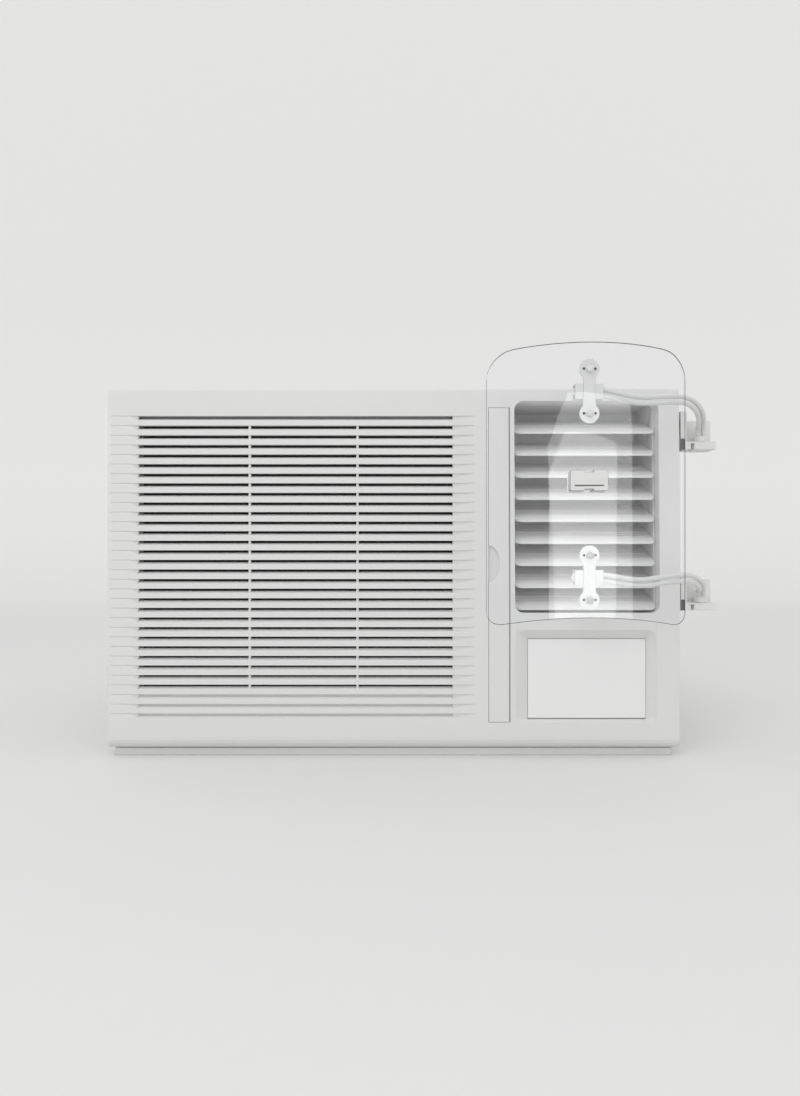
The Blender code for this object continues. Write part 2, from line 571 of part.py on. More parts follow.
def blower(duct_left):
    """Scroll housing, inlet ring and drum wheel. Returns the wheel's rear face."""
    front, rear = FRONT + SCROLL_BACK, DUCT_BACK - 0.001
    right = duct_left - GAP
    shell = scroll_outline(right, SCROLL_WALL)
    scroll = prism("blower_scroll", shell, front, rear, "Y", GREY)
    cut(scroll, prism("scroll_bore", scroll_outline(right + THROUGH, 0), front - THROUGH,
                      rear - SCROLL_WALL, "Y"),
        rod("scroll_shaft_hole", (FAN_X, rear - THROUGH, FAN_Z), (FAN_X, rear + THROUGH, FAN_Z),
            SHAFT_HOLE_R))
    inlet = prism("blower_orifice", shell, front - GAP - 0.002, front - GAP, "Y", GREY)
    cut(inlet, rod("inlet_hole", (FAN_X, front - THROUGH, FAN_Z), (FAN_X, front + THROUGH, FAN_Z),
                   WHEEL_R - SCROLL_PLAY, sides=32))
    start = front + 0.006
    end = start + WHEEL_LONG
    wheel = rod("blower_wheel", (FAN_X, end - WHEEL_WALL, FAN_Z), (FAN_X, end, FAN_Z), WHEEL_R, BLACK,
                sides=40)
    ring = rod("wheel_ring", (FAN_X, start, FAN_Z), (FAN_X, start + 0.004, FAN_Z), WHEEL_R, sides=40)
    cut(ring, rod("wheel_ring_bore", (FAN_X, start - THROUGH, FAN_Z), (FAN_X, start + THROUGH, FAN_Z),
                  WHEEL_R - 0.014, sides=40))
    bm = bmesh.new()
    for i in range(BLADES):
        made = bmesh.ops.create_cube(bm, size=1)["verts"]
        bmesh.ops.scale(bm, vec=(0.011, WHEEL_LONG - WHEEL_WALL, 0.0014), verts=made)
        turn = Matrix.Rotation(math.tau * i / BLADES, 4, "Y")
        lean = Matrix.Translation((WHEEL_R - 0.007, 0, 0)) @ Matrix.Rotation(math.radians(35), 4, "Y")
        centre = Matrix.Translation((FAN_X, (start + end) / 2, FAN_Z))
        bmesh.ops.transform(bm, verts=made, matrix=centre @ turn @ lean)
    hub = rod("wheel_hub", (FAN_X, end - 0.025, FAN_Z), (FAN_X, end - 0.001, FAN_Z), 0.011)
    join(wheel, ring, solid("wheel_blades", bm), hub)
    cut(wheel, rod("wheel_bore", (FAN_X, start - THROUGH, FAN_Z), (FAN_X, end + THROUGH, FAN_Z),
                   SHAFT_R + GAP))
    return end


# Hot side

def bulkhead():
    plate = block("bulkhead", (-HALF + 0.008, BULKHEAD, PAN_HEIGHT - 0.005),
                  (HALF - 0.008, BULKHEAD + SHEET, INNER_TOP), ENAMEL)
    for name, x, z, radius in (("bulkhead_hole", FAN_X, FAN_Z, SHAFT_HOLE_R),
                               ("pipe_hole", PIPE_X, PIPE_Z, 0.022)):
        cut(plate, rod(name, (x, BULKHEAD - THROUGH, z), (x, BULKHEAD + THROUGH, z), radius))


def fan_and_motor(wheel_rear):
    motor = rod("fan_motor", (FAN_X, MOTOR_FRONT, FAN_Z), (FAN_X, MOTOR_REAR, FAN_Z), MOTOR_R, BLACK,
                sides=32)
    join(motor, rod("motor_nose", (FAN_X, MOTOR_FRONT - 0.010, FAN_Z), (FAN_X, MOTOR_REAR + 0.010, FAN_Z),
                    MOTOR_R / 3))
    cut(motor, rod("motor_bore", (FAN_X, MOTOR_FRONT - 0.02, FAN_Z), (FAN_X, MOTOR_REAR + 0.02, FAN_Z),
                   SHAFT_R + GAP))
    inside = STAND_HALF - STAND_WALL
    stand = block("motor_bracket", (FAN_X - STAND_HALF, MOTOR_FRONT + STAND_INSET, ON_PAN),
                  (FAN_X + STAND_HALF, MOTOR_REAR - STAND_INSET, FAN_Z - MOTOR_R * 2 / 3), STEEL)
    cut(stand, block("stand_hollow", (FAN_X - inside, MOTOR_FRONT, ON_PAN + STAND_WALL),
                     (FAN_X + inside, MOTOR_REAR, FAN_Z - MOTOR_R - 0.015)),
        rod("stand_saddle", (FAN_X, MOTOR_FRONT, FAN_Z), (FAN_X, MOTOR_REAR, FAN_Z), MOTOR_R + GAP,
            sides=32))
    rod("fan_shaft", (FAN_X, wheel_rear - 0.029, FAN_Z), (FAN_X, CFAN_Y + 0.012, FAN_Z), SHAFT_R, STEEL)


def fan_blade(i):
    """A twisted blade that widens from the hub to the slinger ring."""
    rings = []
    for step in range(5):
        share = step / 4
        radius = CFAN_HUB_R - 0.004 + (CFAN_R - CFAN_HUB_R + 0.002) * share
        chord, pitch = 0.040 + 0.035 * share, math.radians(42 - 20 * share)
        ring = []
        for along, thick in ((-0.5, -1), (0.5, -1), (0.5, 1), (-0.5, 1)):
            angle = math.tau * i / CFAN_BLADES + along * chord * math.cos(pitch) / radius
            y = CFAN_Y + along * chord * math.sin(pitch) * 0.6 + thick * 0.0009
            ring.append((FAN_X + radius * math.cos(angle), y, FAN_Z + radius * math.sin(angle)))
        rings.append(ring)
    return loft(f"fan_blade_{i + 1}", rings)


def condenser_fan():
    fan = rod("condenser_fan", (FAN_X, CFAN_Y - 0.018, FAN_Z), (FAN_X, CFAN_Y + 0.014, FAN_Z),
              CFAN_HUB_R, GREY, sides=24)
    ring = rod("slinger_ring", (FAN_X, CFAN_Y - SLINGER_WIDE, FAN_Z), (FAN_X, CFAN_Y + SLINGER_WIDE, FAN_Z),
               CFAN_R, sides=36)
    cut(ring, rod("slinger_bore", (FAN_X, CFAN_Y - 2 * SLINGER_WIDE, FAN_Z),
                  (FAN_X, CFAN_Y + 2 * SLINGER_WIDE, FAN_Z), CFAN_R - 0.008, sides=36))
    join(fan, ring, *(fan_blade(i) for i in range(CFAN_BLADES)))
    cut(fan, rod("fan_bore", (FAN_X, CFAN_Y - 0.03, FAN_Z), (FAN_X, CFAN_Y + 0.03, FAN_Z), SHAFT_R + GAP))


def fan_shroud():
    front, rear, side = SHROUD_FRONT, CONDENSER_FRONT - 0.002, HALF - 0.010
    shroud = block("fan_shroud", (-side, front, ON_PAN), (side, rear, INNER_TOP), GREY)
    inside = side - SHROUD_WALL
    cut(shroud, rod("shroud_hole", (FAN_X, front - THROUGH, FAN_Z), (FAN_X, front + 5 * THROUGH, FAN_Z),
                    CFAN_R + SHROUD_PLAY, sides=48),
        block("shroud_hollow", (-inside, front + 0.002, ON_PAN + SHROUD_WALL + 0.001),
              (inside, rear + THROUGH, INNER_TOP - SHROUD_WALL - 0.0005)))
    for name, (x, z), radius in (("discharge_hole", DISCHARGE_AT, 0.007),
                                 ("capillary_hole", CAPILLARY_AT, 0.005)):
        cut(shroud, rod(name, (x, front - THROUGH, z), (x, front + THROUGH, z), radius))


def compressor():
    points = [(0, COMP_LOW), (COMP_R - 0.004, COMP_LOW), (COMP_R, COMP_LOW + 0.008),
              (COMP_R, COMP_HIGH - 0.040), (COMP_R * 0.86, COMP_HIGH - 0.012), (COMP_R * 0.5, COMP_HIGH),
              (0, COMP_HIGH)]
    mesh = bpy.data.meshes.new("compressor")
    mesh.from_pydata([(r, 0, z) for r, z in points[::-1]], [(i, i + 1) for i in range(len(points) - 1)], [])
    shell = bpy.data.objects.new("compressor", mesh)
    PARTS.objects.link(shell)
    mesh.materials.append(BLACK)
    shell.location = (COMP_X, COMP_Y, 0)
    turn = shell.modifiers.new("turn", "SCREW")
    turn.steps = turn.render_steps = 28
    turn.use_merge_vertices = True
    turn.merge_threshold = 0.0001
    join(shell, rod("compressor_plate", (COMP_X, COMP_Y, COMP_LOW - 0.001),
                    (COMP_X, COMP_Y, COMP_LOW + 0.002), COMP_PLATE_R, sides=24))
    for i in range(3):
        angle = math.radians(90 + 120 * i)
        x, y = COMP_X + COMP_FOOT_R * math.cos(angle), COMP_Y + COMP_FOOT_R * math.sin(angle)
        rod(f"compressor_foot_{i + 1}", (x, y, ON_PAN), (x, y, COMP_LOW - 0.001 - GAP), 0.010, RUBBER,
            sides=12)


def pipework():
    """Suction, discharge and capillary lines, each a smooth run between two ends."""
    x, y, top = COMP_X - 0.020, COMP_Y, COMP_HIGH
    cold = BULKHEAD + 0.013
    tube("suction_line", smooth_path([
        (x, y, top + 0.0043), (x, y, top + 0.030), (x - 0.040, y - 0.020, top + 0.040),
        (PIPE_X, y - 0.050, top - 0.020), (PIPE_X, y - 0.080, PIPE_Z + 0.050),
        (PIPE_X, cold, PIPE_Z + 0.006), (PIPE_X, cold - 0.035, PIPE_Z + 0.006),
        (PIPE_X - 0.006, cold - 0.125, PIPE_Z)], 3), 0.0055, COPPER)
    x, at, z = COMP_X + 0.020, *DISCHARGE_AT
    near = CONDENSER_FRONT - 0.081
    tube("discharge_line", smooth_path([
        (x, y, top + 0.0033), (x, y, top + 0.030), (x + 0.030, y + 0.030, top + 0.060),
        (at, near - 0.035, z), (at, near, z), (at, CONDENSER_FRONT - GAP, z)], 3), 0.0040, COPPER)
    at, z = CAPILLARY_AT
    x = PIPE_X + 0.010
    tube("capillary_tube", smooth_path([
        (at, CONDENSER_FRONT - GAP, z), (at, near, z), (at, near - 0.040, z), (at, near - 0.060, z),
        (x, y - 0.060, PIPE_Z - 0.012), (x, cold, PIPE_Z - 0.008),
        (x, cold - 0.115, PIPE_Z - 0.012)], 3), 0.0015, COPPER, sides=1)


# Case

def cabinet():
    front, rear = FRONT + PANEL_DEPTH - CASE_LAP, REAR - 0.003
    side, top = HALF - CASE_INSET, PANEL_TOP - CASE_DROP
    shell = block("cabinet", (-side, front, PAN_HEIGHT + GAP), (side, rear, top), ENAMEL,
                  radius=0.006, along="Y", segments=2)
    cut(shell, block("cabinet_hollow", (-side + SHEET, front - THROUGH, -THROUGH),
                     (side - SHEET, rear + THROUGH, top - SHEET), radius=0.005, along="Y", segments=2))
    cut(shell, block("panel_notch", (-HALF, front - THROUGH, 0),
                     (HALF, FRONT + PANEL_DEPTH + GAP, PANEL_BOTTOM + PANEL_WALL + GAP)))
    bm = bmesh.new()
    for row in range(VENT_ROWS):
        for column in range(VENT_COLUMNS):
            made = bmesh.ops.create_cube(bm, size=1)["verts"]
            bmesh.ops.scale(bm, vec=(WIDTH + 2 * THROUGH, VENT_LONG, VENT_TALL), verts=made)
            place = (0, REAR - 0.245 + (VENT_LONG + 0.020) * column, 0.110 + 6 * VENT_TALL * row)
            bmesh.ops.translate(bm, vec=place, verts=made)
    cut(shell, solid("side_vent_cutter", bm))
    y, z = GLAND_Y, GLAND_Z
    cut(shell, rod("gland_hole", (side - THROUGH, y, z), (side + THROUGH, y, z), GLAND_BORE_R + 0.004))
    gland = rod("cord_gland", (side + GAP, y, z), (side + 0.004, y, z), GLAND_BORE_R + 0.0075, RUBBER)
    join(gland, rod("gland_neck", (side - 0.008, y, z), (side + 0.002, y, z), GLAND_BORE_R + 0.0035))
    cut(gland, rod("gland_bore", (side - 2 * THROUGH, y, z), (side + 2 * THROUGH, y, z), GLAND_BORE_R))


def base_pan():
    side, front, rear = HALF - 0.003, FRONT + 0.0115, REAR - 0.0005
    pan = block("base_pan", (-side, front, 0), (side, rear, PAN_HEIGHT), ENAMEL,
                radius=0.006, along="Z", segments=3)
    cut(pan, block("pan_hollow", (-side + 0.004, front + 0.002, PAN_FLOOR),
                   (side - 0.004, rear - 0.014, PAN_HEIGHT + THROUGH), radius=0.005, along="Z", segments=2))


def rear_guard():
    side = HALF - 0.008
    guard = block("rear_guard", (-side, REAR - 0.012, PAN_HEIGHT + GAP), (side, REAR - 0.0035, INNER_TOP),
                  ENAMEL)
    wide = 2 * (side - GUARD_EDGE) / GUARD_COLUMNS
    pitch = (PANEL_TOP - 0.0595) / GUARD_ROWS
    bm = bmesh.new()
    for row in range(GUARD_ROWS):
        for column in range(GUARD_COLUMNS):
            made = bmesh.ops.create_cube(bm, size=1)["verts"]
            bmesh.ops.scale(bm, vec=(wide - 0.012, 5 * THROUGH, GUARD_SLOT), verts=made)
            place = (-side + GUARD_EDGE + wide * (column + 0.5), REAR, 0.040 + pitch * row)
            bmesh.ops.translate(bm, vec=place, verts=made)
    cut(guard, solid("guard_cutter", bm))


def controls():
    front = FRONT + CONTROLS_BACK
    rear = front + CONTROLS_DEPTH
    box = block("control_box", (RECESS_LEFT, front, RECESS_LOW - 0.0035),
                (RECESS_RIGHT, rear, RECESS_HIGH + 0.0034), GREY)
    block("run_capacitor", (RECESS_LEFT + 0.030, rear + GAP, RECESS_LOW + 0.0105),
          (RECESS_LEFT + 0.075, rear + 0.035, RECESS_HIGH - 0.0116), STEEL, radius=0.012, along="Z")
    face, z = front - 0.0008, KNOB_Z
    for name, x in KNOB_X.items():
        knob = rod(name, (x, face, z), (x, face - KNOB_LONG + 0.002, z), KNOB_R, WHITE, sides=28,
                   end_radius=KNOB_R * 0.9)
        grip = KNOB_R * 0.82
        join(knob, block(f"{name}_grip", (x - 0.003, face - KNOB_LONG, z - grip),
                         (x + 0.003, face - 0.002, z + grip)),
             rod(f"{name}_stem", (x, face - 0.004, z), (x, face + THROUGH, z), KNOB_STEM_R, sides=12))
        cut(box, rod(f"{name}_hole", (x, front - THROUGH, z), (x, front + THROUGH + 0.002, z),
                     KNOB_STEM_R + SLIDE, sides=12))


# Air deflector

def sheet_back(x):
    """Y of the sheet's rear face."""
    middle = (SHEET_LEFT + SHEET_RIGHT) / 2
    half = (SHEET_RIGHT - SHEET_LEFT) / 2
    radius = (half ** 2 + SHEET_SAG ** 2) / (2 * SHEET_SAG)
    return FRONT - SHEET_APEX + SHEET_THICK + radius - math.sqrt(radius ** 2 - (x - middle) ** 2)


def deflector_sheet():
    half = (SHEET_RIGHT - SHEET_LEFT) / 2
    middle = (SHEET_LEFT + SHEET_RIGHT) / 2
    edge = sorted({round(r * (1 - math.cos(math.radians(a))), 6)
                   for r in (TOP_R, BOTTOM_R) for a in (0, 15, 30, 45, 60, 75, 90)})
    inner = [TOP_R + (half - TOP_R) * i / 6 for i in range(1, 7)]
    near = edge + inner
    places = [SHEET_LEFT + d for d in near] + [SHEET_RIGHT - d for d in near[-2::-1]]
    rings = []
    for x in places:
        inset = max(0.0, half - abs(x - middle))
        share = 1 - ((x - middle) / half) ** 2

        def corner(radius):
            return 0 if inset >= radius else radius - math.sqrt(radius ** 2 - (radius - inset) ** 2)

        high = SHEET_HIGH - TOP_ARCH * (1 - share) - corner(TOP_R)
        low = SHEET_LOW + BOTTOM_ARCH * share + corner(BOTTOM_R)
        back = sheet_back(x)
        front_x = x + (x - middle) / (half * 4.2) * SHEET_THICK
        rings.append([(front_x, back - SHEET_THICK, low), (front_x, back - SHEET_THICK, high),
                      (x, back, high), (x, back, low)])
    loft("deflector_sheet", rings, CLEAR)


def clip(which):
    """A bone-shaped plate behind the sheet with a saddle that holds the arm's two runs."""
    z, x = CLIP_Z[which], CLIP_X
    front = sheet_back(x) + 0.0007
    outline = [*arc((x, z + CLIP_REACH), CLIP_END_R, -50, 230, 14),
               (x - CLIP_WAIST, z + 0.006), (x - CLIP_WAIST, z - 0.006),
               *arc((x, z - CLIP_REACH), CLIP_END_R, 130, 410, 14),
               (x + CLIP_WAIST, z - 0.006), (x + CLIP_WAIST, z + 0.006)]
    plate = prism(f"clip_{which}", outline, front, front + CLIP_THICK, "Y", ARM_WHITE)
    saddle = block(f"saddle_{which}", (x - SADDLE_WIDE / 2, front + CLIP_THICK / 2, z - SADDLE_TALL / 2),
                   (x + SADDLE_WIDE / 2, front + CLIP_THICK / 2 + SADDLE_DEEP, z + SADDLE_TALL / 2))
    join(plate, saddle)
    rear = front + SADDLE_DEEP - SADDLE_LIP
    bore = ROD_SPREAD + ROD_R + 2 * GAP
    cut(plate, block(f"saddle_bore_{which}", (x - SADDLE_WIDE, rear - 2 * ROD_R - 0.0015, z - bore),
                     (x + SADDLE_WIDE, rear, z + bore)))
    return rear - ROD_R - 2 * GAP


def arm(which, rod_y):
    """One bent wire: two runs side by side, joined by a tight bend behind the clip."""
    z = CLIP_Z[which]
    foot = BRACKET_Z[which][0] + BRACKET_STEP + BARREL_TALL + 3 * GAP
    dip = z - 0.006
    first, second = HALF - 0.068, HALF - 0.030
    route = smooth_path([(CLIP_X - 0.012, rod_y, z), (CLIP_X + 0.017, rod_y, z - 0.0005),
                         (first, sheet_back(first) + 0.0095, dip),
                         (second, sheet_back(second) + 0.0105, dip + 0.004),
                         (HALF, FRONT - 0.029, dip + 0.005),
                         (SWING_X - 0.008, FRONT - 0.012, foot + (dip + 0.005 - foot) * 0.65),
                         (SWING_X, SWING_Y, foot + 0.007)], 3)
    route.append(Vector((SWING_X, SWING_Y, foot)))
    left, right = [], []
    for i, point in enumerate(route):
        ahead = route[min(i + 1, len(route) - 1)] - route[max(i - 1, 0)]
        across = Vector((ahead.z, 0, -ahead.x))
        if i > len(route) - 3:
            across = Vector((-1, 0, 0))
        across.normalize()
        left.append(point - across * ROD_SPREAD)
        right.append(point + across * ROD_SPREAD)
    bend = [route[0] + Vector((-math.sin(math.radians(a)), 0, math.cos(math.radians(a)))) * ROD_SPREAD
            for a in (30, 60, 90, 120, 150)]
    tube(f"arm_{which}", [*left[::-1], *bend, *right], ROD_R, ARM_WHITE)


def swivel_and_bracket(which):
    """The arm's barrel, and a bracket with a foot it turns on, a plate behind and a side flange."""
    low, high = BRACKET_Z[which]
    axis, step = (SWING_X, SWING_Y), low + BRACKET_STEP
    barrel = rod(f"swivel_{which}", (*axis, step + GAP), (*axis, step + GAP + BARREL_TALL), BARREL_R,
                 ARM_WHITE, sides=24)
    join(barrel, rod(f"swivel_pin_{which}", (*axis, low + 0.002), (*axis, step + 0.002), SWIVEL_PIN_R))
    side, out = HALF + GAP + PAD_THICK, HALF + BRACKET_OUT
    front, rear = FRONT + 0.001, FRONT + 0.001 + BRACKET_DEPTH
    bracket = block(f"bracket_{which}", (side + 0.001, rear - BRACKET_PLATE, low), (out, rear, high),
                    ARM_WHITE, radius=0.0012, along="Y", segments=2)
    join(bracket, block(f"bracket_foot_{which}", (side + 0.001, front, low), (out, rear - 0.001, step),
                        radius=0.0012, along="Y", segments=2),
         block(f"bracket_flange_{which}", (side, front + 0.002, low + 0.0005),
               (side + FLANGE_WIDE, rear - 0.0005, high + FLANGE_UP)))
    notch = SWING_X - 0.012
    foot = low + PAD_FOOT_TALL
    cut(bracket, rod(f"bracket_bore_{which}", (*axis, low + 0.001), (*axis, step + THROUGH),
                     SWIVEL_PIN_R + SLIDE),
        block(f"bracket_notch_{which}", (notch - 0.002, FRONT - THROUGH, low - THROUGH),
              (notch + 0.002, rear - BRACKET_PLATE - 0.002, low + 0.007)),
        block(f"bracket_step_{which}", (HALF, FRONT - THROUGH, low - THROUGH),
              (side + PAD_FOOT, FRONT + 5 * THROUGH, foot)))
    pad = block(f"bracket_pad_{which}", (HALF + GAP / 2, FRONT + 0.006, low + 0.001),
                (side - GAP / 2, FRONT + BRACKET_DEPTH, high - 0.001), RUBBER)
    join(pad, block(f"pad_foot_{which}", (HALF + GAP, FRONT + 0.003, low),
                    (side + PAD_FOOT - GAP, FRONT + BRACKET_DEPTH - 0.001, foot - GAP)))


def scent_box():
    """A small two-part box that grips the sheet from both sides."""
    x, z, half = SCENT_X, SCENT_Z, SCENT_TALL / 2
    face = sheet_back(x) - SHEET_THICK - SCENT_OFF
    body = block("scent_box", (x - SCENT_WIDE / 2, face - SCENT_THICK, z - half),
                 (x + SCENT_WIDE / 2, face, z + half), ARM_WHITE, radius=0.0015, along="Y", segments=2)
    for name, bottom in (("high", z + half - 0.002), ("low", z - half - THROUGH + 0.002)):
        cut(body, block(f"scent_notch_{name}", (x - 0.0045, face - 2 * THROUGH, bottom),
                        (x + 0.0045, face + THROUGH, bottom + THROUGH)))
    cut(body, block("scent_slit", (x - 0.015, face - THROUGH, z - 0.0058),
                    (x + 0.015, face - 0.0045, z - 0.0050)))
    back = sheet_back(x) + SCENT_OFF
    block("scent_back", (x - SCENT_WIDE / 2, back, z - half),
          (x + SCENT_WIDE / 2, back + SCENT_THICK / 2, z + half),
          ARM_WHITE, radius=0.0015, along="Y", segments=2)


def build():
    clear_scene()
    front_panel()
    filter_door()
    control_door()
    duct_front = outlet_frame()
    for i in range(LOUVERS):
        louver(i)
    louver_link()
    duct_left = discharge_duct(duct_front)
    filter_pieces()
    coil("evaporator", (-HALF + 0.030, FRONT + COIL_BACK, COIL_LOW),
         (STRIP_LEFT - 0.038, FRONT + COIL_BACK + COIL_DEPTH, COIL_HIGH), 8)
    block("drain_tray", (-HALF + 0.025, FRONT + COIL_BACK - 0.005, PANEL_BOTTOM + PANEL_WALL + GAP),
          (STRIP_LEFT - 0.020, FRONT + COIL_BACK + COIL_DEPTH + 0.007, COIL_LOW - 0.0005), FOAM)
    wheel_rear = blower(duct_left)
    bulkhead()
    fan_and_motor(wheel_rear)
    condenser_fan()
    fan_shroud()
    coil("condenser", (-HALF + 0.020, CONDENSER_FRONT, PAN_HEIGHT + SEAM),
         (HALF - 0.050, CONDENSER_FRONT + CONDENSER_DEPTH, COIL_HIGH), 6)
    compressor()
    pipework()
    cabinet()
    base_pan()
    rear_guard()
    controls()
    deflector_sheet()
    for which in ("upper", "lower"):
        arm(which, clip(which))
        swivel_and_bracket(which)
    scent_box()


build()
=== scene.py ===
"""Looks of the window air conditioner: moulded white shell, clear deflector, coils and metal case."""
import json
import math

import bmesh
import bpy
from mathutils import Matrix, Vector


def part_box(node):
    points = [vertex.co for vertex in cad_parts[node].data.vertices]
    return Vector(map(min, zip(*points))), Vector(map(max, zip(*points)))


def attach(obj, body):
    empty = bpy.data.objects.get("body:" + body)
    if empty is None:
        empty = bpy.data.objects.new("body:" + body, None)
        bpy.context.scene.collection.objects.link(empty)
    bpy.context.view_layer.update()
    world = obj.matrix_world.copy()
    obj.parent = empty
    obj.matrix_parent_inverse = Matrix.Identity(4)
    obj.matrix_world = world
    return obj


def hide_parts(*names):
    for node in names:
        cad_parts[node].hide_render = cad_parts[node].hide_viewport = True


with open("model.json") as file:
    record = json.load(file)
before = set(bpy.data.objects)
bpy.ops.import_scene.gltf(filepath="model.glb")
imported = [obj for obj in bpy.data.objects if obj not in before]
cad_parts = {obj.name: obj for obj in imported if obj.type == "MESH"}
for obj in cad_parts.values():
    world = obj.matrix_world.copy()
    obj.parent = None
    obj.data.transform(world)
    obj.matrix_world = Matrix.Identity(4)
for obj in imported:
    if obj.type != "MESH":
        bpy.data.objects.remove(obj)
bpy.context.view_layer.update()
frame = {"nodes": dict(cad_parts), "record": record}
NODES = frame["nodes"]
BODY_OF = {node: body for body, nodes in frame["record"]["behaviour"]["bodies"].items() for node in nodes}

PANEL_LOW, PANEL_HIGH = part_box("front_panel")
FACE = PANEL_LOW.y
CASE_LOW, CASE_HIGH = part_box("cabinet")
GUARD_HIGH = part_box("rear_guard")[1]
STRIP_PIN = 0.003
STRIP_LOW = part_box("filter_door")[0].z + STRIP_PIN

# Filter door's finger grip
GRIP_RISE, GRIP_HALF, GRIP_WIDE, GRIP_DEEP = 0.0016, 0.021, 0.0125, 0.003
RIDGES, RIDGE_START, RIDGE_PITCH, RIDGE_R = 6, 0.0012, 0.0017, 0.0004

# Clips' rivets and eyelets
CLIP_END, RIVET_R, RIVET_CUT, RIVET_FLAT, RIVET_OUT = 0.0105, 0.0044, 0.0018, 0.45, 0.0026
EYELET_R, EYELET_THICK, EYELET_ASIDE, EYELET_OUT = 0.0013, 0.0006, 0.0060, 0.00032

# Coils and screws
FIN_PITCH, FIN_THICK, COIL_ROWS, COIL_TUBE_R = 0.0022, 0.00022, 12, 0.0045
SCREW_R, SCREW_TOP_R, SCREW_TALL, SCREW_ROUND = 0.0040, 0.0034, 0.0016, 0.0007
CROSS, CROSS_UP = (0.0042, 0.0008, 0.0003), 0.00078
SIDE_SCREWS_FRONT, SIDE_SCREWS_REAR = (0.014, (0.060, 0.370)), (0.016, (0.040, 0.380))
GUARD_SCREWS = ((-0.29, 0.018), (0.29, 0.018), (-0.29, 0.402), (0.29, 0.402))

JOIN_ANGLE = 3.1            # pairs any flat triangles, whatever the quad's shape

# Camera: level, square to the face, a little under a metre away
EYE = Vector((0.0052, FACE - 0.85, 0.2134))
LENS, SENSOR = 24.24, 36.0
EYE_SHIFT = (0.0018, 0.0219)


# Shared effects

def group(name, inputs, outputs):
    """An empty node group with named sockets. Returns it with its input and output nodes."""
    made = bpy.data.node_groups.new(name, "ShaderNodeTree")
    for label, kind, value in inputs:
        made.interface.new_socket(label, in_out="INPUT", socket_type=kind).default_value = value
    for label, kind in outputs:
        made.interface.new_socket(label, in_out="OUTPUT", socket_type=kind)
    return made, made.nodes.new("NodeGroupInput"), made.nodes.new("NodeGroupOutput")


def node(tree, kind, **values):
    """A shader node with its settings and the defaults of its named inputs."""
    made = tree.nodes.new(kind)
    for key, value in values.items():
        if hasattr(made, key):
            setattr(made, key, value)
        else:
            made.inputs[key.replace("_", " ")].default_value = value
    return made


def moulded_grain():
    """Fine spark-eroded grain with slow changes of gloss and tone over a moulding."""
    tree, inside, outside = group("moulded_grain", [
        ("Grain Scale", "NodeSocketFloat", 1400.0), ("Light Tone", "NodeSocketColor", (0.8, 0.8, 0.8, 1)),
        ("Deep Tone", "NodeSocketColor", (0.76, 0.76, 0.75, 1)), ("Roughness", "NodeSocketFloat", 0.4)],
        [("Height", "NodeSocketFloat"), ("Color", "NodeSocketColor"), ("Roughness", "NodeSocketFloat")])
    link = tree.links.new
    place = tree.nodes.new("ShaderNodeTexCoord")
    pits = node(tree, "ShaderNodeTexVoronoi", feature="SMOOTH_F1")
    fine = node(tree, "ShaderNodeTexNoise", Scale=2600.0, Detail=2.0)
    slow = node(tree, "ShaderNodeTexNoise", Scale=7.0, Detail=3.0)
    flow = node(tree, "ShaderNodeTexNoise", Scale=38.0, Detail=4.0)
    for texture in (pits, fine, slow, flow):
        link(place.outputs["Object"], texture.inputs["Vector"])
    link(inside.outputs["Grain Scale"], pits.inputs["Scale"])
    both = node(tree, "ShaderNodeMath", operation="MULTIPLY_ADD")
    both.inputs[1].default_value = 0.5
    link(fine.outputs["Fac"], both.inputs[0])
    link(pits.outputs["Distance"], both.inputs[2])
    link(both.outputs["Value"], outside.inputs["Height"])
    tone = node(tree, "ShaderNodeMix", data_type="RGBA")
    link(slow.outputs["Fac"], tone.inputs["Factor"])
    link(inside.outputs["Light Tone"], tone.inputs["A"])
    link(inside.outputs["Deep Tone"], tone.inputs["B"])
    link(tone.outputs["Result"], outside.inputs["Color"])
    gloss = node(tree, "ShaderNodeMath", operation="MULTIPLY_ADD")
    gloss.inputs[1].default_value = 0.10
    link(flow.outputs["Fac"], gloss.inputs[0])
    link(inside.outputs["Roughness"], gloss.inputs[2])
    link(gloss.outputs["Value"], outside.inputs["Roughness"])
    return tree


